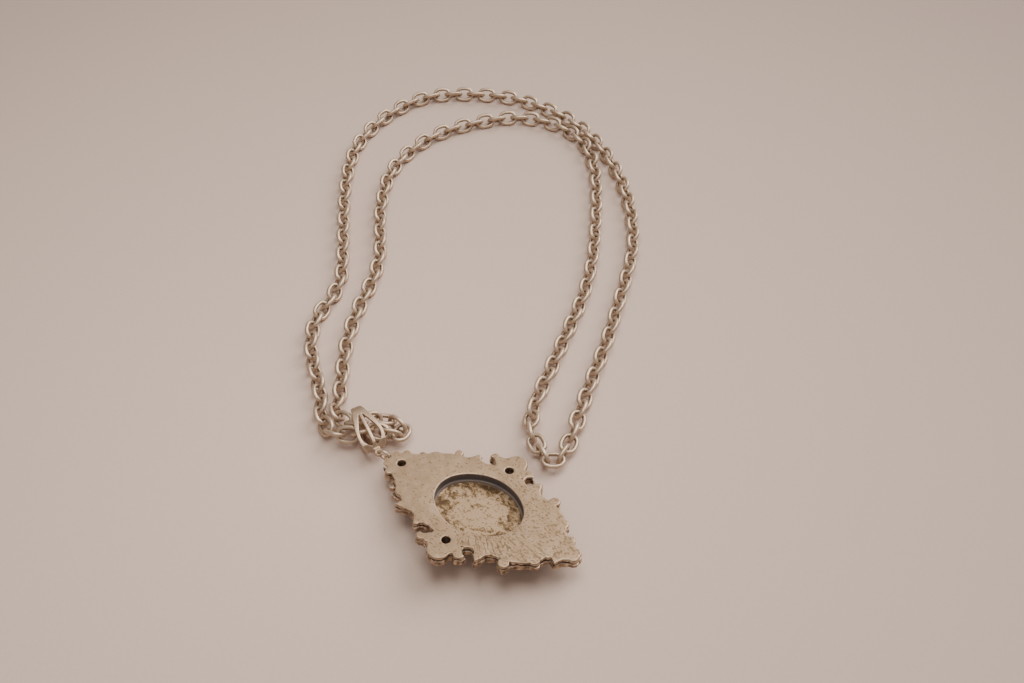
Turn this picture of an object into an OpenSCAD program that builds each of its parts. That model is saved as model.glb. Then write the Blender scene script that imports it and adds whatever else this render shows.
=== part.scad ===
// A cameo pendant lying face down, with its chain laid in a doubled loop
// through the bail. Units are millimetres, +Z is up, and the table is z = 0.

/* [Plate] */
// thickness of the flat back layer
back_t = 0.7; // [0.5:0.1:2]
// depth of the groove layer between back and front work
groove_t = 0.7; // [0.2:0.1:1.5]
// how far the groove layer steps in from the edge
groove_in = 0.5; // [0.1:0.05:1]
// how far the front layer stands out past the back layer
front_out = 0.2; // [0:0.05:0.6]
// thickness of the front scroll layer
front_t = 1.4; // [0.6:0.1:3]

/* [Recess] */
// half length of the oval recess in the back
recess_a = 12.4; // [8:0.05:16]
// half width of the oval recess
recess_b = 10.0; // [6:0.05:12]
// depth down to the ledge in the recess wall
ledge_depth = 2.3; // [1:0.1:4]
// how far the ledge steps in
ledge_in = 0.3; // [0.2:0.1:1.5]
// depth of the recess floor
recess_depth = 3.2; // [2:0.1:5]
// how far the recess and cameo sit from the plate's middle toward the tip
middle_u = 1.1; // [0:0.05:4]
// how far the centres of the ovals' end arcs lie from their middle
arc_offset = 4.3; // [3:0.1:6]

/* [Front] */
// half length of the cameo
cameo_a = 12.8; // [8:0.1:16]
// half width of the cameo
cameo_b = 10.4; // [6:0.1:12]
// thickness of the wall round the cameo
bezel_wall = 1.3; // [0.6:0.1:3]
// how deep the cameo sits below the rim of its wall
cameo_seat = 0.85; // [0.5:0.1:2]
// thickness of the cameo at its edge
cameo_edge = 0.9; // [0.6:0.1:3]
// height of the cameo's dome above its edge
cameo_dome = 0.8; // [0.5:0.1:3]
// gap left round each set stone
seat_gap = 0.12; // [0.1:0.01:0.3]

/* [Small stones] */
// diameter of the hole behind each small stone
hole_d = 2.4; // [1:0.1:3]
// diameter of a small stone
stone_d = 3.2; // [2:0.1:5]
// thickness of a small stone at its edge
girdle = 0.7; // [0.4:0.1:1.5]
// diameter of a small stone's cup
cup_d = 4.6; // [3:0.1:6]

/* [Bail] */
// inner radius of the bend
bend_r = 3.35; // [2:0.05:5]
// thickness of the bail's leaves
leaf_t = 0.9; // [0.6:0.1:2]
// half width of the upper leaf where it is widest
leaf_half = 3.7; // [1.5:0.1:5]
// half width of the leaf underneath
under_half = 2.6; // [1.5:0.1:5]
// half width of the leaves at the eye and at the bend
leaf_tip = 1.1; // [0.6:0.1:2]
// width of a rib
rib_wide = 0.9; // [0.5:0.1:2]
// radius of the round end that the ring goes through
boss_r = 1.2; // [1:0.1:2]
// how far the round end reaches back to the leaves
boss_reach = 2.6; // [2:0.1:4]

/* [Jump ring] */
// radius of the holes that the ring goes through
eye_r = 0.6; // [0.5:0.05:1]
// radius of the ring's centre line
ring_r = 1.6; // [1:0.05:4]
// wire of the ring
ring_wire = 0.75; // [0.5:0.05:1.5]

/* [Chain] */
// wire of a link
link_wire = 1.25; // [0.6:0.05:1.5]
// outer length of a link
link_long = 7.2; // [4:0.05:12]
// outer width of a link
link_wide = 5.4; // [2.5:0.05:8]
// links from the fold by the bail to the far turn
near_links = 86; // [40:2:160]
// links from the far turn back to the fold
back_links = 98; // [40:2:160]

/* [Hidden] */
$fn = 48;
plate_t = back_t + groove_t + front_t;
floor_t = 1.0;
rim_w = -recess_depth - floor_t;
eye_u = -28.4;
silver = [0.75, 0.72, 0.68];

// Everything is placed in one frame and then moved so that its box is centred
// on the origin.
module middled() translate([0.295, 1.86, 0]) children();

// The pendant's own frame runs u from bail to tip, v across and w out of its
// back. It lies turned and a little tilted on its domed front.
pose_at = [0.42, -85.7, 6.83];
pose_turn = -33.4;
pose_tilt = [-8.7, -2.6];
module laid() middled() translate(pose_at) rotate([0, 0, pose_turn]) rotate([pose_tilt[0], 0, 0]) rotate([0, pose_tilt[1], 0]) children();

// Half of the plate's plain edge, bail to tip. Columns: u, v.
edge = [
    [-29.3, 1.2], [-26.6, 3.1], [-22.6, 5.3], [-19.6, 7.9], [-15.4, 10.8],
    [-11.0, 12.2], [-6.6, 13.3], [-2.0, 14.0], [4.0, 14.2], [8.4, 13.4],
    [12.9, 12.0], [15.6, 11.6], [18.6, 10.9], [21.6, 9.1], [23.6, 6.9],
    [25.4, 4.3], [28.4, 3.0], [30.4, 1.7], [31.5, 0.4]
];
// Round swellings of the edge. Columns: u, v, radius.
knobs = [
    [eye_u, 0, 1.35], [-27.4, 2.1, 0.95], [-25.2, 3.9, 1.15], [-17.9, 7.1, 2.25],
    [-8.6, 14.1, 0.8], [-4.9, 16.8, 1.25], [-2.9, 16.3, 1.5], [1.3, 17.9, 2.95], [0.9, 15.2, 4.2], [6.1, 15.9, 1.75],
    [16.9, 12.3, 1.4], [22.5, 7.0, 1.55], [30.2, 0.9, 1.2]
];
// Pointed leaves of the edge. Columns: foot u, foot v, foot u, foot v, point u, point v.
leaves = [
    [-10.9, 12.0, -6.4, 12.9, -8.8, 14.8], [7.6, 12.9, 13.2, 11.4, 10.7, 15.9],
    [25.0, 3.6, 28.8, 2.2, 27.3, 5.2]
];
// Bites out of the edge between the leaves and lobes. Columns: u, v, radius.
bites = [
    [-22.6, 6.6, 1.2], [-11.2, 14.7, 1.5], [-5.4, 14.7, 1.45], [-3.4, 18.9, 1.0], [4.9, 18.6, 0.75],
    [7.8, 14.6, 1.55], [13.4, 14.0, 1.75], [19.8, 12.2, 1.3], [25.3, 5.6, 1.0], [28.9, 4.3, 0.95]
];

// Swellings of the front layer alone, seen past the back layer. Columns: u, v, radius.
front_knobs = [[-22.0, 6.7, 1.15], [-19.4, 8.9, 1.0]];
// The casting is uneven here: a knob on one side faces a scroll on the other.
odd_knob = [-13.7, 12.2, 1.15];
odd_leaf = [-15.8, -10.2, -11.6, -11.9, -16.7, -12.5];

function inward(p, q, d) = let (t = (q - p) / norm(q - p)) [t[1], -t[0]] * d;
function shrunk(e, d) = [for (i = [0 : len(e) - 1]) e[i] + inward(e[max(0, i - 1)], e[min(len(e) - 1, i + 1)], d)];

module knob(k, d) translate([k[0], k[1]]) circle(r = k[2] - d);

module half_outline(d) {
    difference() {
        union() {
            polygon(concat([[eye_u, -0.2]], shrunk(edge, d), [[31.4 - d, -0.2]]));
            for (k = knobs) knob(k, d);
            for (l = leaves) polygon([[l[0] + d, l[1]], [l[2] - d, l[3]], [l[4], l[5] - 1.5 * d]]);
        }
        for (b = bites) translate([b[0], b[1]]) circle(r = b[2] + d);
    }
}

module outline(d) {
    half_outline(d);
    mirror([0, 1]) half_outline(d);
    knob(odd_knob, d);
    polygon([[odd_leaf[0] + d, odd_leaf[1]], [odd_leaf[2] - d, odd_leaf[3]], [odd_leaf[4], odd_leaf[5] + 1.5 * d]]);
}

// An oval of four arcs, half as long as a and half as wide as b. Its ends have radius e.
module oval(a, b) {
    e = a - arc_offset;
    r = (arc_offset * arc_offset + b * b - e * e) / (2 * (b - e));
    x = arc_offset * r / (r - e);
    for (s = [-1, 1]) translate([s * arc_offset, 0]) circle(r = e);
    intersection() {
        translate([0, b - r]) circle(r = r);
        translate([0, r - b]) circle(r = r);
        square([2 * x, 4 * b], center = true);
    }
}

small_seats = [[-24.1, 0], [1.1, 14.6], [1.1, -14.6]];

// The front work stops short of the eye, so that the ring can pass.
notch_long = 1.5;
notch_half = 3;

module setting_body() {
    difference() {
        union() {
            translate([0, 0, -back_t]) linear_extrude(back_t) outline(0);
            difference() {
                union() {
                    translate([0, 0, -back_t - groove_t]) linear_extrude(groove_t + 0.01) outline(groove_in);
                    translate([0, 0, -plate_t]) linear_extrude(front_t) {
                        outline(-front_out);
                        for (m = [0, 1], k = front_knobs) mirror([0, m]) knob(k, 0);
                    }
                }
                translate([eye_u - 4, -notch_half, -plate_t - 1]) cube([4 + notch_long, 2 * notch_half, front_t + groove_t + 0.9]);
            }
            translate([middle_u, 0, rim_w - cameo_seat]) linear_extrude(-rim_w + cameo_seat - back_t) oval(cameo_a + bezel_wall, cameo_b + bezel_wall);
            for (s = small_seats) translate([s[0], s[1], -plate_t - 1.0]) cylinder(d = cup_d, h = 1.5);
        }
        translate([middle_u, 0, -ledge_depth]) linear_extrude(ledge_depth + 1) oval(recess_a, recess_b);
        translate([middle_u, 0, -recess_depth]) linear_extrude(recess_depth) oval(recess_a - ledge_in, recess_b - ledge_in);
        translate([middle_u, 0, rim_w - cameo_seat - 1]) linear_extrude(cameo_seat + 1) oval(cameo_a + seat_gap, cameo_b + seat_gap);
        for (s = small_seats) translate([s[0], s[1], 0]) {
            translate([0, 0, -plate_t - 2]) cylinder(d = hole_d, h = plate_t + 3);
            translate([0, 0, -plate_t - 2]) cylinder(d = stone_d + 2 * seat_gap, h = 2);
        }
        translate([eye_u, 0, -3]) cylinder(r = eye_r, h = 4);
    }
}

// The cameo is an oval stone whose face is a shallow part of a flattened ball,
// over times as wide as the stone.
module cameo_body() {
    top = rim_w - seat_gap;
    low = top - cameo_edge - cameo_dome;
    over = 1.15;
    flat = cameo_dome / (1 - sqrt(1 - 1 / (over * over)));
    translate([middle_u, 0, 0]) intersection() {
        translate([0, 0, low - 1]) linear_extrude(top - low + 1) oval(cameo_a, cameo_b);
        translate([0, 0, low + flat]) scale([over * cameo_a, over * cameo_b, flat]) sphere(r = 1, $fn = 72);
    }
}

module stone_body(s) {
    translate([s[0], s[1], -plate_t - seat_gap]) intersection() {
        translate([0, 0, -3 * girdle]) cylinder(d = stone_d, h = 3 * girdle);
        translate([0, 0, girdle]) sphere(r = norm([stone_d / 2, 2 * girdle]));
    }
}

module setting() color(silver) laid() setting_body();
module cameo() color([0.62, 0.38, 0.28]) laid() cameo_body();
module stone_top() color([0.2, 0.16, 0.2]) laid() stone_body(small_seats[0]);
module stone_left() color([0.2, 0.16, 0.2]) laid() stone_body(small_seats[1]);
module stone_right() color([0.2, 0.16, 0.2]) laid() stone_body(small_seats[2]);

// A point of the pendant's own frame, where it lies.
function turned(p) = let (
        a = pose_tilt[1], b = pose_tilt[0], c = pose_turn,
        q = [p[0] * cos(a) + p[2] * sin(a), p[1], -p[0] * sin(a) + p[2] * cos(a)],
        r = [q[0], q[1] * cos(b) - q[2] * sin(b), q[1] * sin(b) + q[2] * cos(b)])
    pose_at + [r[0] * cos(c) - r[1] * sin(c), r[0] * sin(c) + r[1] * cos(c), r[2]];

// The jump ring stands upright through the plate's top hole and the bail's eye.
ring_turn = -27;
plate_eye = turned([eye_u, 0, -back_t / 2]);
ring_at = plate_eye - ring_r * [cos(ring_turn), sin(ring_turn), 0];
bail_eye = plate_eye - 2 * ring_r * [cos(ring_turn), sin(ring_turn), 0];
module jump_ring() color(silver) middled() translate(ring_at) rotate([0, 0, ring_turn]) rotate([90, 0, 0])
    rotate_extrude() translate([ring_r, 0]) circle(d = ring_wire);

// The bail is one folded leaf. Its own frame runs x from eye to bend, y across
// and z up, with the bend's centre at the origin.
bend_at = [-32.45, -57.3, 4.3];
bail_yaw = atan2(bend_at[1] - bail_eye[1], bend_at[0] - bail_eye[0]);
bail_run = norm([bend_at[0] - bail_eye[0], bend_at[1] - bail_eye[1]]);
bail_long = norm(bend_at - bail_eye);
bail_pitch = atan2(bail_eye[2] - bend_at[2], bail_run);

// Side view of the folded leaf's hollow: a half circle at the bend that
// narrows like a cosine to the eye.
inner_long = bail_long - 2 * boss_r;
hollow = concat(
    [for (a = [-90 : 10 : 90]) bend_r * [cos(a), sin(a)]],
    [for (k = [1 : 11]) [-inner_long * k / 12, bend_r * pow(cos(90 * k / 12), 0.5)]],
    [[-inner_long, 0]],
    [for (k = [11 : -1 : 1]) [-inner_long * k / 12, -bend_r * pow(cos(90 * k / 12), 0.5)]]
);
function ring_grown(p, d) = let (n = len(p))
    [for (i = [0 : n - 1]) let (t = p[(i + 1) % n] - p[(i + n - 1) % n]) p[i] + d * [t[1], -t[0]] / norm(t)];

// Plan of the leaf: narrow at the eye and the bend, widest a third of the way up.
function leaf_edge(half, x0, x1, tip) = [for (k = [0 : 16]) [x0 + (x1 - x0) * k / 16, tip + (half - tip) * pow(sin(180 * pow(k / 16, 0.5)), 1.2)]];
module leaf_plan(half, x0, x1, tip) {
    e = leaf_edge(half, x0, x1, tip);
    polygon(concat(e, [for (k = [16 : -1 : 0]) [e[k][0], -e[k][1]]]));
}

// The upper leaf and the one underneath. Columns: half width, foot of its cut.
reach = 8;
leaf_pair = [[leaf_half, 0], [under_half, -reach]];

module bail() color(silver) middled() translate(bend_at) rotate([0, 0, bail_yaw]) rotate([0, bail_pitch, 0]) {
    difference() {
        intersection() {
            rotate([90, 0, 0]) linear_extrude(3 * leaf_half, center = true) difference() {
                polygon(ring_grown(hollow, leaf_t));
                polygon(hollow);
            }
            for (l = leaf_pair) translate([0, 0, l[1]]) linear_extrude(reach) leaf_plan(l[0], 0.6 - bail_long, bend_r + leaf_t + 0.1, leaf_tip);
        }
        for (m = [0, 1], l = leaf_pair) mirror([0, m, 0]) translate([0, 0, l[1]]) linear_extrude(reach) difference() {
            leaf_plan(l[0] - rib_wide, 2.0 - bail_long, 0.6, 0.1);
            translate([-20, -10]) square([40, 10 + rib_wide / 2]);
        }
    }
    difference() {
        union() {
            translate([-bail_long, 0, -leaf_t / 2]) cylinder(r = boss_r, h = leaf_t);
            translate([-bail_long, -0.75 * boss_r, -leaf_t / 2]) cube([boss_reach, 1.5 * boss_r, leaf_t]);
        }
        translate([-bail_long, 0, -2]) cylinder(r = eye_r, h = 4);
    }
}

// The middle line of the laid chain, from the fold beside the bail to the far
// turn and back. Columns: x, y, z.
fold_at = [-19.4, -61, 2.7];
way_out = [
    [-21.4, -58.15, 3.35], [-25.35, -55.65, 3.6], [-28.65, -56.4, 3.85], [-32.95, -58.1, 4.5], [-37.4, -56.8, 3.6],
    [-40.2, -52.95, 3.1], [-39.75, -47.05, 2.2], [-40, -37, 2.12], [-40, -28.9, 2.12], [-39.3, -20.4, 2.12],
    [-37.2, -9.4, 2.12], [-34.3, 1.4, 2.12], [-33.1, 13, 2.12], [-33.9, 23, 2.12], [-34.7, 33.5, 2.12],
    [-34.2, 45.5, 2.12], [-32.6, 54.5, 2.12], [-28.6, 63.5, 2.12], [-20.7, 73.5, 2.12], [-11.4, 79.9, 2.12],
    [0, 84.3, 2.12], [10.8, 86.4, 2.12], [20.6, 84.7, 2.12], [28.8, 80.1, 2.12], [35.2, 72.4, 2.12],
    [38.3, 62.1, 2.12], [39.2, 50, 2.12], [38.4, 32.3, 2.12], [36.1, 11, 2.12], [32.3, -6.1, 2.12],
    [26.4, -22.6, 2.12], [20.7, -38.1, 2.15], [16.8, -48.7, 2.4], [15.2, -57.7, 2.75], [17.15, -64.85, 2.7]
];
far_at = [21.3, -70.95, 2.9];
way_back = [
    [25.45, -64.8, 2.65], [28, -57.3, 2.7], [30.9, -47.6, 2.4], [35, -35.5, 2.15], [39, -24, 2.1], [43, -10, 2.12],
    [46.5, 2.5, 2.12], [49.2, 14, 2.12], [50.2, 24.5, 2.12], [49.9, 37.5, 2.12], [47.6, 52, 2.12],
    [43.2, 65.7, 2.12], [37.8, 76.7, 2.12], [30.6, 85.8, 2.12], [22.3, 92.2, 2.12], [11.5, 98.2, 2.12],
    [-1, 100.8, 2.12], [-15, 101, 2.12], [-25, 98, 2.12], [-34, 90.5, 2.12], [-41, 81, 2.12], [-46, 69.5, 2.12],
    [-47.8, 56.5, 2.12], [-47.7, 42.5, 2.12], [-46.6, 28.5, 2.12], [-45.2, 12.6, 2.12], [-44.6, 2, 2.12],
    [-46.5, -7, 2.12], [-49.8, -14.5, 2.12], [-50.9, -22, 2.12], [-50, -30, 2.12], [-47.6, -38.5, 2.12],
    [-45.2, -46.6, 2.3], [-44.4, -53.4, 2.4], [-41.4, -59.35, 2.85], [-36.85, -62.15, 4.35], [-32.35, -61.9, 4.6],
    [-27.85, -60.55, 4.75], [-23.85, -61.8, 4]
];
route = concat([fold_at], way_out, [far_at], way_back);
stops = len(route);
steps = 12;
function smooth(a, b, c, d, t) = 0.5 * (2 * b + (c - a) * t + (2 * a - 5 * b + 4 * c - d) * t * t + (3 * b - a - 3 * c + d) * t * t * t);
course = [for (i = [0 : stops - 1], k = [0 : steps - 1])
    smooth(route[(i + stops - 1) % stops], route[i], route[(i + 1) % stops], route[(i + 2) % stops], k / steps)];
points = stops * steps;
gone = [for (i = 0, s = 0; i <= points; s = s + norm(course[(i + 1) % points] - course[i % points]), i = i + 1) s];
axis_table = [for (k = [0 : 2]) [for (i = [0 : points]) [gone[i], course[i % points][k]]]];
function along(s) = [lookup(s, axis_table[0]), lookup(s, axis_table[1]), lookup(s, axis_table[2])];

// Neighbouring links meet at a hook, and the hooks are spaced evenly.
links = near_links + back_links;
far_run = gone[(len(way_out) + 1) * steps];
near_pitch = far_run / near_links;
back_pitch = (gone[points] - far_run) / back_links;
hooks = concat([for (i = [0 : near_links - 1]) along((i + 0.5) * near_pitch)],
    [for (i = [0 : back_links - 1]) along(far_run + (i + 0.5) * back_pitch)]);
function hook(i) = hooks[(i + links) % links];
function heading(i) = (hook(i) - hook(i - 1)) / norm(hook(i) - hook(i - 1));
function bend_deg(i) = acos(min(1, heading(i) * heading(i + 1)));
// Links lean half over on the table and lie flatter round the two turns.
function apart(i, j, span) = min(1, min(abs(i - j), links - abs(i - j)) / span);
function roll(i) = 45 * min(apart(i, 0, 4), apart(i, near_links, 7)) + (i % 2 == 0 ? 0 : 90);

module link() {
    r = (link_wide - link_wire) / 2;
    s = (link_long - link_wide) / 2;
    for (m = [0, 1]) mirror([0, m, 0]) translate([0, s, 0]) rotate_extrude(angle = 180) translate([r, 0]) circle(d = link_wire);
    for (m = [-1, 1]) translate([m * r, -s, 0]) rotate([-90, 0, 0]) cylinder(d = link_wire, h = 2 * s);
}

module chain() color(silver) middled() for (i = [0 : links - 1]) {
    t = heading(i);
    c = (hook(i) + hook(i - 1)) / 2 + t * 0.006 * (bend_deg(i - 1) - bend_deg(i));
    side = cross([0, 0, 1], t) / norm(cross([0, 0, 1], t));
    x = side * cos(roll(i)) + cross(t, side) * sin(roll(i));
    z = cross(x, t);
    multmatrix([[x[0], t[0], z[0], c[0]], [x[1], t[1], z[1], c[1]], [x[2], t[2], z[2], c[2]], [0, 0, 0, 1]]) link();
}

setting();
cameo();
stone_top();
stone_left();
stone_right();
jump_ring();
bail();
chain();
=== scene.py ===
"""A cameo pendant in antiqued silver tone, lying face down with its chain laid in a doubled loop."""
from math import cos, pi, radians, sin

import bmesh
import bpy
from mathutils import Euler, Matrix, Vector, noise
from mathutils.bvhtree import BVHTree


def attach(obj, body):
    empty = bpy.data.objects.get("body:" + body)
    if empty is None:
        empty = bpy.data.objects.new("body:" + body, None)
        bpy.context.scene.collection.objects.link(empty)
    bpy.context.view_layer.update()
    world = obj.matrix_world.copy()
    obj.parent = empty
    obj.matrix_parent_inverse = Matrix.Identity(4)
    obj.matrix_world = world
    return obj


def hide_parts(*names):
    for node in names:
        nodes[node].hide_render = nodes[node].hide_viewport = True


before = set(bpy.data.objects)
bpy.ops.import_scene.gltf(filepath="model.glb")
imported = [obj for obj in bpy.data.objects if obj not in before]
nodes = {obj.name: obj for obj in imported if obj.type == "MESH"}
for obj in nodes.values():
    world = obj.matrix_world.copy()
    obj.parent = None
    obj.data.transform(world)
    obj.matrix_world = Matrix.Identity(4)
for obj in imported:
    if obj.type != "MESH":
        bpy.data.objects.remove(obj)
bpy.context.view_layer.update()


# The table: a sheet of matt pinkish-beige card in a soft light tent, wide
# enough to fill the view, with the camera looking down on it at 48 degrees.
def colour(hex_code):
    """A hex sRGB colour as linear RGBA."""
    values = [int(hex_code[i:i + 2], 16) / 255 for i in (1, 3, 5)]
    linear = [v / 12.92 if v < 0.04045 else ((v + 0.055) / 1.055) ** 2.4 for v in values]
    return linear + [1.0]


def new_material(name):
    """A material without nodes. The functions below add them, and return what a node gives."""
    made = bpy.data.materials.new(name)
    made.use_nodes = True
    made.node_tree.nodes.clear()
    return made


def add(material, kind, inputs, output, **settings):
    """Adds a node. An input is a number, a vector, a hex colour or what another node gives."""
    tree = material.node_tree
    node = tree.nodes.new(kind)
    for name, value in settings.items():
        setattr(node, name, value)
    for name, value in inputs.items():
        if isinstance(value, bpy.types.NodeSocket):
            tree.links.new(value, node.inputs[name])
        elif isinstance(value, str):
            node.inputs[name].default_value = colour(value)
        else:
            node.inputs[name].default_value = value
    return node.outputs[output]


def own_place(material):
    """Where a point lies on the object, in metres."""
    return add(material, "ShaderNodeTexCoord", {}, "Object")


def cloudy(material, place, scale, detail=2.0, roughness=0.5, distortion=0.0):
    """Cloudy noise with a mean of about 0.5, in cells of about one over scale."""
    inputs = {"Vector": place, "Scale": scale, "Detail": detail}
    inputs.update({"Roughness": roughness, "Distortion": distortion})
    return add(material, "ShaderNodeTexNoise", inputs, "Fac")


def ramp(material, share, *stops):
    """The colour at a share, from stops of a share and a colour."""
    node = material.node_tree.nodes.new("ShaderNodeValToRGB")
    elements = node.color_ramp.elements
    while len(elements) < len(stops):
        elements.new(0.5)
    for element, (place, shade) in zip(elements, stops):
        element.position = place
        element.color = colour(shade)
    material.node_tree.links.new(share, node.inputs["Fac"])
    return node.outputs["Color"]


def remap(material, value, low, high, to_low=0.0, to_high=1.0):
    """Takes low to to_low and high to to_high, evenly between them and level past them."""
    inputs = {"Value": value, "From Min": low, "From Max": high, "To Min": to_low, "To Max": to_high}
    return add(material, "ShaderNodeMapRange", inputs, "Result")


def mix(material, share, first, second):
    """The first colour where the share is 0 and the second where it is 1."""
    return add(material, "ShaderNodeMixRGB", {"Fac": share, "Color1": first, "Color2": second}, "Color")


def vector_maths(material, operation, output, *values):
    return add(material, "ShaderNodeVectorMath", dict(enumerate(values)), output, operation=operation)


def finish_material(material, inputs):
    """Ends a material with a Principled surface."""
    surface = add(material, "ShaderNodeBsdfPrincipled", inputs, "BSDF")
    end = material.node_tree.nodes.new("ShaderNodeOutputMaterial")
    material.node_tree.links.new(surface, end.inputs["Surface"])


def placed(name, data):
    """A new object in the scene, for a mesh, a lamp or a camera."""
    made = bpy.data.objects.new(name, data)
    bpy.context.scene.collection.objects.link(made)
    return made


def shaped(name, bm):
    """A new mesh object with a bmesh's shape. The bmesh is freed."""
    mesh = bpy.data.meshes.new(name)
    bm.to_mesh(mesh)
    bm.free()
    return placed(name, mesh)


card = new_material("matt_card")
where = own_place(card)
grain = cloudy(card, where, scale=900.0, detail=3.0)
tone = ramp(card, grain, (0.3, "#dac2b3"), (0.7, "#ddc5b6"))
# Painted shade: the card's colour is made a little darker away from the spot that the lamps light most.
best_lit = (-0.04, -0.07, 0)
from_best_lit = vector_maths(card, "DISTANCE", "Value", where, best_lit)
painted_shade_share = remap(card, from_best_lit, low=0.0, high=0.364, to_low=0.06, to_high=0.48)
shaded = mix(card, painted_shade_share, tone, "#3a3431")
finish_material(card, {"Base Color": shaded, "Roughness": 0.75, "Specular IOR Level": 0.25})

table_half_side = 3.0
bm = bmesh.new()
bmesh.ops.create_grid(bm, x_segments=1, y_segments=1, size=table_half_side)
table = shaped("table", bm)
table.data.materials.append(card)

# Columns: name, place, aim, side in metres, watts.
lamps = [
    ("tent_top", (0.02, 0.0, 0.48), (0.0, 0.0, 0.0), 0.3, 1.55),
    ("tent_right", (1.8, 1.6, 2.0), (0.0, 0.0, 0.0), 2.2, 112),
    ("tent_front", (-0.25, -0.6, 0.55), (0.0, -0.05, 0.0), 0.6, 0.7),
]
lamp_colour = (1.0, 0.955, 0.915)
for name, place, aim, side, watts in lamps:
    lamp = bpy.data.lights.new(name, "AREA")
    lamp.shape = "SQUARE"
    lamp.size = side
    lamp.energy = watts
    lamp.color = lamp_colour
    holder = placed(name, lamp)
    holder.location = place
    holder.rotation_euler = (Vector(aim) - Vector(place)).to_track_quat("-Z", "Y").to_euler()

world = bpy.data.worlds.new("soft_room")
world.use_nodes = True
room_light = world.node_tree.nodes["Background"]
room_light.inputs["Color"].default_value = colour("#e2d4ca")
room_light.inputs["Strength"].default_value = 0.36
bpy.context.scene.world = world

# The camera's place, pitch and lens are fitted to the photo.
camera_at = (0.010295, -0.23624, 0.240)
pitch_down = 48.2
lens = bpy.data.cameras.new("camera")
lens.sensor_width = 36.0
lens.lens = 37.16
lens.clip_start = 0.01
eye = placed("camera", lens)
eye.location = camera_at
eye.rotation_euler = (radians(90 - pitch_down), 0, 0)
bpy.context.scene.camera = eye


# The setting: one casting in a soft zinc alloy, silver plated, blackened and
# then buffed, so the high places are bright and the deep ones stay dark. The
# brightening of its corners is partly painted highlight. Its cast corners are
# rounded by about a quarter of a millimetre.
millimetre = 0.001
# The plate's own frame, as in the CAD: u along the plate from the ring's hole to
# the tip, v across it, and height above its flat back, all in millimetres.
plate_at = Vector((0.000715, -0.08384, 0.00683))
heading = Euler((0, 0, radians(-33.4))).to_matrix()
side_tilt = Euler((radians(-8.7), 0, 0)).to_matrix()
end_tilt = Euler((0, radians(-2.6), 0)).to_matrix()
plate_turn = heading @ side_tilt @ end_tilt
plate_frame = Matrix.Translation(plate_at) @ plate_turn.to_4x4() @ Matrix.Scale(millimetre, 4)


def copied(node, into=Matrix()):
    """A merged copy of a CAD node's mesh, taken into another frame."""
    bm = bmesh.new()
    bm.from_mesh(nodes[node].data)
    bmesh.ops.remove_doubles(bm, verts=bm.verts, dist=1e-7)
    bmesh.ops.transform(bm, matrix=into, verts=bm.verts)
    return bm


def cast(name, node, own_frame, grain_mm, rounds, kept_share):
    """A copy of a node in its own frame, with its corners rounded as casting does.

    The skin is remade in cells of grain_mm, smoothed for some rounds, and then
    thinned out to the kept share of its faces.
    """
    piece = shaped(name, copied(node, own_frame.inverted()))
    skin = piece.modifiers.new("skin", "REMESH")
    skin.mode = "VOXEL"
    skin.voxel_size = grain_mm
    soft = piece.modifiers.new("soft", "SMOOTH")
    soft.factor = 0.5
    soft.iterations = rounds
    fewer = piece.modifiers.new("fewer", "DECIMATE")
    fewer.ratio = kept_share
    bpy.context.view_layer.update()
    evaluated = piece.evaluated_get(bpy.context.evaluated_depsgraph_get())
    made = bpy.data.meshes.new_from_object(evaluated)
    piece.modifiers.clear()
    piece.data = made
    made.name = name
    return piece


def ray_fan(rays, down_to):
    """Directions spread evenly round the z axis, from straight up to the height down_to."""
    golden = pi * (3 - 5 ** 0.5)
    fan = []
    for i in range(rays):
        z = 1 - (i + 0.5) / rays * (1 - down_to)
        r = (1 - z * z) ** 0.5
        fan.append(Vector((r * cos(golden * i), r * sin(golden * i), z)))
    return fan


def spread_out(bm, values):
    """Each vertex's mean with its neighbours."""
    means = []
    for v in bm.verts:
        around = sum(values[e.other_vert(v).index] for e in v.link_edges)
        means.append((values[v.index] + around) / (1 + len(v.link_edges)))
    return means


def hollow_and_corner_masks(mesh, reach, sharp):
    """Writes two values on the mesh: shut_in and worn.

    shut_in goes from 0 in the open to 1 in a deep crevice, by the share of rays
    that meet metal within the reach. The other value goes from 0 on the flat to 1
    on a corner as sharp as given; the materials brighten these corners, partly as
    the buff's real wear and partly as painted highlight.
    """
    ray_start = 0.02
    flat_enough = 0.03
    bm = bmesh.new()
    bm.from_mesh(mesh)
    bm.normal_update()
    metal = BVHTree.FromBMesh(bm)
    fan = ray_fan(rays=14, down_to=0.1)
    shut_in = []
    worn_and_glint = []
    for v in bm.verts:
        turn = v.normal.to_track_quat("Z", "Y")
        start = v.co + v.normal * reach * ray_start
        hits = sum(metal.ray_cast(start, turn @ ray, reach)[0] is not None for ray in fan)
        shut_in.append(hits / len(fan))
        bulge = sum((v.co - e.other_vert(v).co).normalized().dot(v.normal) for e in v.link_edges)
        worn_and_glint.append(max(0.0, bulge / max(1, len(v.link_edges)) - flat_enough) / sharp)
    shut_in = spread_out(bm, spread_out(bm, shut_in))
    worn_and_glint = spread_out(bm, worn_and_glint)
    bm.free()
    for name, found in (("shut_in", shut_in), ("worn_and_glint", worn_and_glint)):
        layer = mesh.attributes.new(name, "FLOAT", "POINT")
        layer.data.foreach_set("value", [min(1.0, f) for f in found])


def finish_piece(piece, own_frame, material, *replaced):
    """Takes a piece out of its own frame, shades it smooth and hands it to the frame."""
    piece.data.transform(own_frame)
    for face in piece.data.polygons:
        face.use_smooth = True
    piece.data.materials.clear()
    piece.data.materials.append(material)
    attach(piece, "root")
    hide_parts(*replaced)


setting = cast("setting_casting", "setting", plate_frame, grain_mm=0.16, rounds=4, kept_share=0.32)

# The edge's cast relief is uneven: the groove wanders and fills in places. The
# ring's hole, the cups and the wall round the cameo stay true.
middle_u = 1.1
wall_a, wall_b = 14.5, 12.4
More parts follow.
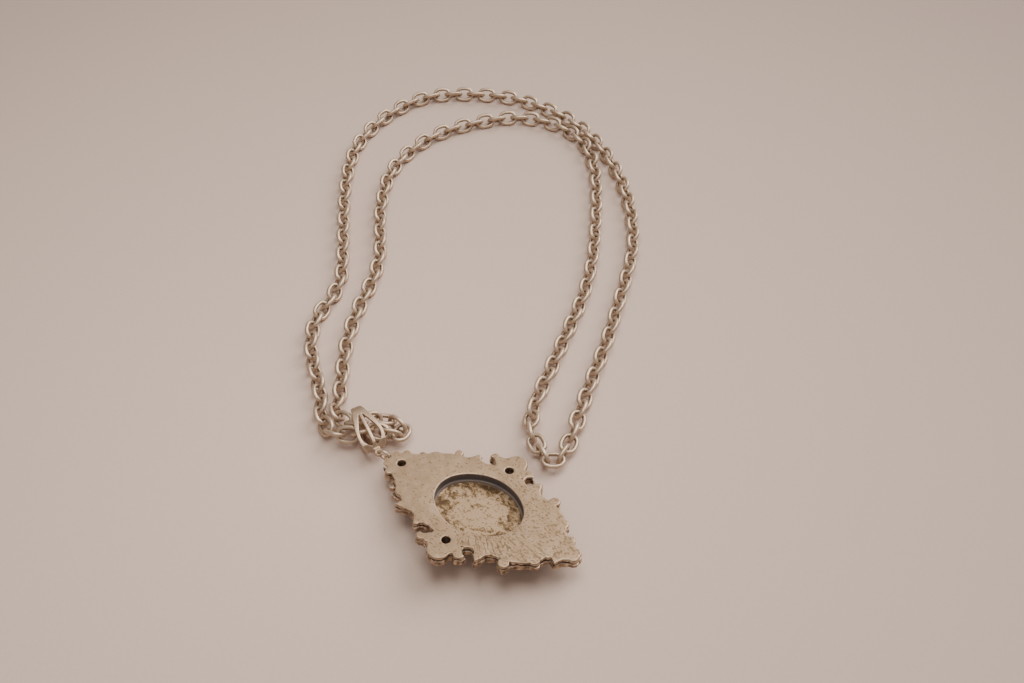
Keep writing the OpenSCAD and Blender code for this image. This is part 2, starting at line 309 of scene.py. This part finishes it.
# Rows: the ring's hole, then the three cups. Columns: u, v, radius.
kept_true = [
    (-28.4, 0.0, 1.8),
    (-24.1, 0.0, 2.8),
    (middle_u, 14.6, 2.8),
    (middle_u, -14.6, 2.8),
]
groove_top, groove_foot = -0.3, -1.35
fades_in, fades_at_hole = 0.5, 0.6
swell_field, swell_start = 0.45, Vector((7, 3, 1))
fill_field, fill_start = 0.8, Vector((2, 9, 4))
fill_mean, half_swing = 0.3, 0.5
outward = [Vector((v.normal.x, v.normal.y, 0)) for v in setting.data.vertices]
for vertex, away in zip(setting.data.vertices, outward):
    u, v, height = vertex.co
    room = min(((u - x) ** 2 + (v - y) ** 2) ** 0.5 - radius for x, y, radius in kept_true)
    in_wall = ((u - middle_u) / wall_a) ** 2 + (v / wall_b) ** 2 < 1
    if height > groove_top or room < 0 or in_wall:
        continue
    amount = min(1.0, (groove_top - height) / fades_in, room / fades_at_hole)
    swell = half_swing * noise.noise(Vector((u, v, 0)) * swell_field + swell_start)
    fill = half_swing * noise.noise(Vector((u, v, height / 2)) * fill_field + fill_start)
    if height > groove_foot:
        fill += fill_mean
    vertex.co += away * amount * fill
    vertex.co.z += amount * swell * away.length
hollow_and_corner_masks(setting.data, reach=1.8, sharp=0.14)


def maths(material, operation, *values):
    return add(material, "ShaderNodeMath", dict(enumerate(values)), "Value", operation=operation)


def split(material, vector):
    """A vector's x, y and z."""
    node = material.node_tree.nodes.new("ShaderNodeSeparateXYZ")
    material.node_tree.links.new(vector, node.inputs["Vector"])
    return node.outputs["X"], node.outputs["Y"], node.outputs["Z"]


def carried(material, name):
    """A value that the mesh carries."""
    return add(material, "ShaderNodeAttribute", {}, "Fac", attribute_name=name)


def bump(material, height, strength, distance):
    """The normal of a fine relief, whose full height is the distance in metres."""
    inputs = {"Height": height, "Strength": strength, "Distance": distance}
    return add(material, "ShaderNodeBump", inputs, "Normal")


silver = new_material("antiqued_cast_silver_plate")
plate_place = {"Vector": own_place(silver), "Location": plate_at, "Rotation": plate_turn.to_euler("XYZ")}
plate_place["Scale"] = (millimetre, millimetre, millimetre)
plate_mm = add(silver, "ShaderNodeMapping", plate_place, "Vector", vector_type="TEXTURE")
at_u, at_v, at_height = split(silver, plate_mm)
shut_in = carried(silver, "shut_in")
worn_and_glint = carried(silver, "worn_and_glint")

# How far out of the recess a point lies: 1 on the oval rim.
recess_a, recess_b, floor_height = 12.4, 10.0, -3.2
oval_place = {"Vector": plate_mm, "Location": (middle_u, 0, 0), "Scale": (recess_a, recess_b, 1)}
oval = add(silver, "ShaderNodeMapping", oval_place, "Vector", vector_type="TEXTURE")
flat_oval = vector_maths(silver, "MULTIPLY", "Vector", oval, (1, 1, 0))
out = vector_maths(silver, "LENGTH", "Value", flat_oval)
inside = remap(silver, out, low=1.0, high=1.04, to_low=1.0, to_high=0.0)
below = remap(silver, at_height, low=-0.1, high=-0.4)
off_floor = remap(silver, at_height, low=floor_height + 0.05, high=floor_height + 0.35)

# Cloudy buffing, about 3 mm across, over a warm silver, darker toward the tip
# and along the near edge.
clouds = cloudy(silver, plate_mm, scale=0.35, detail=5.0, roughness=0.6)
buffed = ramp(silver, clouds, (0.3, "#a2886a"), (0.5, "#ae9477"), (0.7, "#b89f84"))
darker_to_tip = remap(silver, at_u, low=-14.0, high=22.0, to_high=0.24)
darker_to_near_edge = remap(silver, at_v, low=-8.0, high=-14.0, to_high=0.28)
edge_and_tip_darkening = maths(silver, "MAXIMUM", darker_to_tip, darker_to_near_edge)
darkened_to_edges = mix(silver, edge_and_tip_darkening, buffed, "#6f5a42")

# Olive-brown specks under a millimetre long, in clusters that thicken toward the tip.
speck_place = {"Vector": plate_mm, "Rotation": (0, 0, 0.58), "Scale": (0.8, 1.15, 1)}
speck_way = add(silver, "ShaderNodeMapping", speck_place, "Vector")
speck_field = cloudy(silver, speck_way, scale=1.35, detail=2.5, roughness=0.6)
cluster = cloudy(silver, plate_mm, scale=0.4, detail=2.0)
toward_tip = remap(silver, at_u, low=-26.0, high=28.0, to_low=-0.17, to_high=-0.075)
speck_base = maths(silver, "MULTIPLY_ADD", cluster, 0.26, toward_tip)
speck_sum = maths(silver, "ADD", speck_field, speck_base)
speck = remap(silver, speck_sum, low=0.575, high=0.63, to_high=0.7)
specked = mix(silver, speck, darkened_to_edges, "#6a5336")

# Scratches that run out from the recess toward the tip's near side.
round_way = maths(silver, "ARCTAN2", at_v, at_u)
fan = add(silver, "ShaderNodeCombineXYZ", {"X": round_way, "Y": out}, "Vector")
streaks_round, streaks_out = 34, 3.5
fan_scaled = vector_maths(silver, "MULTIPLY", "Vector", fan, (streaks_round, streaks_out, 1))
fan_field = cloudy(silver, fan_scaled, scale=1.0, detail=2.0)
scratch = remap(silver, fan_field, low=0.54, high=0.6, to_high=0.85)
near_side = remap(silver, at_v, low=-3.0, high=-6.0)
tip_side = remap(silver, at_u, low=2.0, high=6.0)
scratch_spot = maths(silver, "MULTIPLY", tip_side, near_side)
scratch_part = maths(silver, "MULTIPLY", scratch, scratch_spot)
scratched = mix(silver, scratch_part, specked, "#715b41")

# Casting pits 0.2 to 0.6 mm across, stained dark.
pit_field = cloudy(silver, plate_mm, scale=1.4, detail=5.0, roughness=0.7, distortion=0.8)
pits = remap(silver, pit_field, low=0.62, high=0.65, to_high=0.85)
pitted = mix(silver, pits, scratched, "#5a452c")

# The recess floor is a lighter silver, with tarnish in golden blotches that have
# dark hearts, thick along the wall and thin in the middle.
on_floor = maths(silver, "MULTIPLY_ADD", off_floor, -1.0, 1.0)
in_recess = maths(silver, "MULTIPLY", inside, below)
floor_part = maths(silver, "MULTIPLY", on_floor, in_recess)
plain_floor = mix(silver, floor_part, pitted, "#b3997b")
blotch = cloudy(silver, plate_mm, scale=0.4, detail=4.0, roughness=0.6, distortion=0.8)
rim_ward = remap(silver, out, low=0.4, high=0.98, to_low=-0.065, to_high=0.085)
flecks = cloudy(silver, plate_mm, scale=1.1, detail=5.0, roughness=0.7, distortion=1.0)
blotch_sum = maths(silver, "MULTIPLY_ADD", blotch, 0.75, rim_ward)
gold_sum = maths(silver, "MULTIPLY_ADD", flecks, 0.4, blotch_sum)
gold = remap(silver, gold_sum, low=0.56, high=0.61, to_high=0.85)
heart = remap(silver, gold_sum, low=0.625, high=0.68, to_high=0.85)
gold_part = maths(silver, "MULTIPLY", floor_part, gold)
golden_floor = mix(silver, gold_part, plain_floor, "#846a48")
dot_field = cloudy(silver, plate_mm, scale=2.0, detail=2.0)
dots = remap(silver, dot_field, low=0.6, high=0.65, to_high=0.75)
dark_spots = maths(silver, "MAXIMUM", dots, heart)
dark_part = maths(silver, "MULTIPLY", floor_part, dark_spots)
floored = mix(silver, dark_part, golden_floor, "#4a3828")

# Patina wherever the buff could not reach, and grey down the recess wall, which
# is darker above the ledge than below it.
patina = remap(silver, shut_in, low=0.25, high=0.6)
off_floor_patina = maths(silver, "MULTIPLY_ADD", floor_part, -0.8, patina)
kept_patina = maths(silver, "MAXIMUM", off_floor_patina, 0.0)
aged = mix(silver, kept_patina, floored, "#57504c")
wall = maths(silver, "MULTIPLY", in_recess, off_floor)
under_ledge = remap(silver, at_height, low=-2.2, high=-2.5)
wall_colour = mix(silver, under_ledge, "#5b5759", "#8f8785")
walled = mix(silver, wall, aged, wall_colour)

# Painted shade: the edge's sides are darkened below the back layer, in patches.
patch_field = cloudy(silver, plate_mm, scale=0.55, detail=3.0)
patches = remap(silver, patch_field, low=0.4, high=0.6, to_low=0.1, to_high=0.85)
under_back = remap(silver, at_height, low=-0.4, high=-0.75)
painted_side_shade = maths(silver, "MULTIPLY", under_back, patches)
outside = maths(silver, "MULTIPLY_ADD", inside, -1.0, 1.0)
side_shade_part = maths(silver, "MULTIPLY", painted_side_shade, outside)
side_shaded = mix(silver, side_shade_part, walled, "#57483b")

# Corners are brightened, partly as the buff's real wear and partly as painted highlight.
worn_and_glint_share = maths(silver, "MULTIPLY", worn_and_glint, 0.8)
tipped = mix(silver, worn_and_glint_share, side_shaded, "#e2c7ad")

fine = cloudy(silver, plate_mm, scale=6.0, detail=3.0)
relief = maths(silver, "MULTIPLY_ADD", pits, -1.4, fine)
finish_material(silver, {
    "Base Color": tipped,
    "Metallic": remap(silver, wall, low=0.0, high=1.0, to_low=0.8, to_high=0.25),
    "Roughness": remap(silver, speck, low=0.0, high=1.0, to_low=0.48, to_high=0.62),
    "Normal": bump(silver, relief, strength=0.45, distance=0.00009),
})
finish_piece(setting, plate_frame, silver, "setting")


# The cameo: a moulded resin oval, held in the rim round the hollow. Its carved
# side lies on the table, so it is left as a plain polished dome.
cameo = shaped("cameo_oval", copied("cameo"))
resin = new_material("moulded_resin")
clouds = cloudy(resin, own_place(resin), scale=160.0, detail=3.0)
tone = ramp(resin, clouds, (0.3, "#7d4a33"), (0.7, "#94593d"))
finish_material(resin, {"Base Color": tone, "Roughness": 0.28, "Subsurface Weight": 0.1})
finish_piece(cameo, Matrix(), resin, "cameo")


# Three small cabochons of dark glass, set in front of the three holes. The flat
# back is foiled, which shows through the hole in the plate.
glass = new_material("dark_pressed_glass")
clouds = cloudy(glass, own_place(glass), scale=700.0)
tone = ramp(glass, clouds, (0.3, "#2a2027"), (0.7, "#3b2d36"))
facing = add(glass, "ShaderNodeNewGeometry", {}, "Normal")
upward = split(glass, facing)[2]
foil_part = remap(glass, upward, low=0.8, high=0.9)
foiled = mix(glass, foil_part, tone, "#8d8c9b")
finish_material(glass, {"Base Color": foiled, "Roughness": 0.08})
for node in ("stone_top", "stone_left", "stone_right"):
    stone = shaped(node + "_cabochon", copied(node))
    finish_piece(stone, Matrix(), glass, node)


# The bail: one cast and folded leaf with three ribs on each side, plated and
# antiqued like the setting but buffed brighter, with dark slots.
in_mm = Matrix.Scale(millimetre, 4)
bail = cast("bail_casting", "bail", in_mm, grain_mm=0.1, rounds=20, kept_share=0.7)
hollow_and_corner_masks(bail.data, reach=2.0, sharp=0.1)

bright_silver = new_material("buffed_cast_silver_plate")
shut_in = carried(bright_silver, "shut_in")
worn_and_glint = carried(bright_silver, "worn_and_glint")
where = own_place(bright_silver)
clouds = cloudy(bright_silver, where, scale=500.0, detail=4.0)
buffed = ramp(bright_silver, clouds, (0.3, "#b29981"), (0.7, "#c6ad94"))
patina = remap(bright_silver, shut_in, low=0.35, high=0.8, to_high=0.9)
darkened = mix(bright_silver, patina, buffed, "#574a4b")
# Corners are brightened, partly as the buff's real wear and partly as painted highlight.
aged = mix(bright_silver, worn_and_glint, darkened, "#d2b9a1")
fine = cloudy(bright_silver, where, scale=3000.0)
finish_material(bright_silver, {
    "Base Color": aged,
    "Metallic": 0.85,
    "Roughness": 0.44,
    "Normal": bump(bright_silver, fine, strength=0.15, distance=0.00005),
})
finish_piece(bail, in_mm, bright_silver, "bail")


# The jump ring: a turn of round drawn wire through the plate's eye and the
# bail's eye. It is finished with the chain, in the same wire.
ring = shaped("jump_ring_wire", copied("jump_ring", in_mm.inverted()))


# The chain: 184 oval links of drawn wire, each bent through the last and
# soldered shut, plated and antiqued. Buffing leaves the outside bright and
# the inside of each link brown.
link_wire, link_long, link_wide = 1.25, 7.2, 5.4
bend = (link_wide - link_wire) / 2
straight = (link_long - link_wide) / 2
# The wire's section has few sides, so it is drawn a little wide to fill the round.
# The brown starts halfway through the wire and is full a little before its inner side.
wire_sides, bend_steps, drawn_wide = 7, 5, 1.03
inner_rise = 1.1

pattern = bmesh.new()
bend_start = Matrix.Translation((bend, straight, 0)) @ Matrix.Rotation(pi / 2, 4, "X")
wire_radius = link_wire / 2 * drawn_wide
bmesh.ops.create_circle(pattern, segments=wire_sides, radius=wire_radius, matrix=bend_start)
section = pattern.verts[:] + pattern.edges[:]
centre = (0, straight, 0)
bmesh.ops.spin(pattern, geom=section, cent=centre, axis=(0, 0, 1), angle=pi, steps=bend_steps)
half = pattern.verts[:] + pattern.edges[:] + pattern.faces[:]
copies = bmesh.ops.duplicate(pattern, geom=half)["geom"]
copied_verts = [g for g in copies if isinstance(g, bmesh.types.BMVert)]
half_turn = Matrix.Rotation(pi, 3, "Z")
bmesh.ops.rotate(pattern, verts=copied_verts, cent=(0, 0, 0), matrix=half_turn)
for flank in (1, -1):
    ends = [e for e in pattern.edges if e.is_boundary and all(v.co.x * flank > 0 for v in e.verts)]
    bmesh.ops.bridge_loops(pattern, edges=ends)
bmesh.ops.recalc_face_normals(pattern, faces=pattern.faces)
pattern_mesh = bpy.data.meshes.new("link_pattern")
pattern.to_mesh(pattern_mesh)
pattern.free()


def joined_groups(bm):
    """The vertices in groups, one for each loose link."""
    seen = set()
    groups = []
    for first in bm.verts:
        if first in seen:
            continue
        seen.add(first)
        waiting = [first]
        group = []
        while waiting:
            vertex = waiting.pop()
            group.append(vertex)
            for edge in vertex.link_edges:
                other = edge.other_vert(vertex)
                if other not in seen:
                    seen.add(other)
                    waiting.append(other)
        groups.append(group)
    return groups


def widest_way(spread, way, rounds):
    """The direction in which a spread is widest, homed in on from a rough one."""
    for _ in range(rounds):
        way = (spread @ way).normalized()
    return way


def stand_of(group):
    """A link's middle, its long way and its wide way, from how its surface is spread."""
    faces = {f for v in group for f in v.link_faces}
    total = sum(f.calc_area() for f in faces)
    middle = sum((f.calc_center_median() * f.calc_area() for f in faces), Vector()) / total
    farthest = max((v.co - middle for v in group), key=lambda d: d.length).normalized()
    spread = Matrix(((0, 0, 0), (0, 0, 0), (0, 0, 0)))
    for f in faces:
        d = f.calc_center_median() - middle
        for a in range(3):
            for b in range(3):
                spread[a][b] += d[a] * d[b] * f.calc_area()
    long_way = widest_way(spread, farthest, rounds=12)
    long_spread = long_way.dot(spread @ long_way)
    along = Matrix([[long_spread * long_way[a] * long_way[b] for b in range(3)] for a in range(3)])
    wide_way = widest_way(spread - along, long_way.orthogonal().normalized(), rounds=40)
    return middle, long_way, wide_way


# The CAD chain's loose links give each link's middle and the way that it lies.
cad_chain = copied("chain", in_mm.inverted())
stands = [stand_of(group) for group in joined_groups(cad_chain)]
cad_chain.free()

links = bmesh.new()
inner = links.verts.layers.float.new("shut_in")
for middle, long_way, wide_way in stands:
    before = len(links.verts)
    links.from_mesh(pattern_mesh)
    links.verts.ensure_lookup_table()
    fresh = links.verts[before:]
    for vertex in fresh:
        along = max(-straight, min(straight, vertex.co.y))
        from_middle = Vector((vertex.co.x, vertex.co.y - along, 0)).length
        vertex[inner] = max(0.0, min(1.0, 0.5 - (from_middle - bend) / link_wire * inner_rise))
    stand = Matrix((wide_way, long_way, wide_way.cross(long_way))).transposed().to_4x4()
    bmesh.ops.transform(links, matrix=Matrix.Translation(middle) @ stand, verts=fresh)
chain = shaped("cable_chain", links)

wire = new_material("antiqued_silver_plated_wire")
shut_in = carried(wire, "shut_in")
clouds = cloudy(wire, own_place(wire), scale=380.0, detail=4.0)
buffed = ramp(wire, clouds, (0.3, "#bba48c"), (0.7, "#cfb9a1"))
patina = remap(wire, shut_in, low=0.5, high=1.0, to_high=0.55)
aged = mix(wire, patina, buffed, "#75604a")
finish_material(wire, {"Base Color": aged, "Metallic": 0.7, "Roughness": 0.42})
finish_piece(chain, in_mm, wire, "chain")
finish_piece(ring, in_mm, wire, "jump_ring")
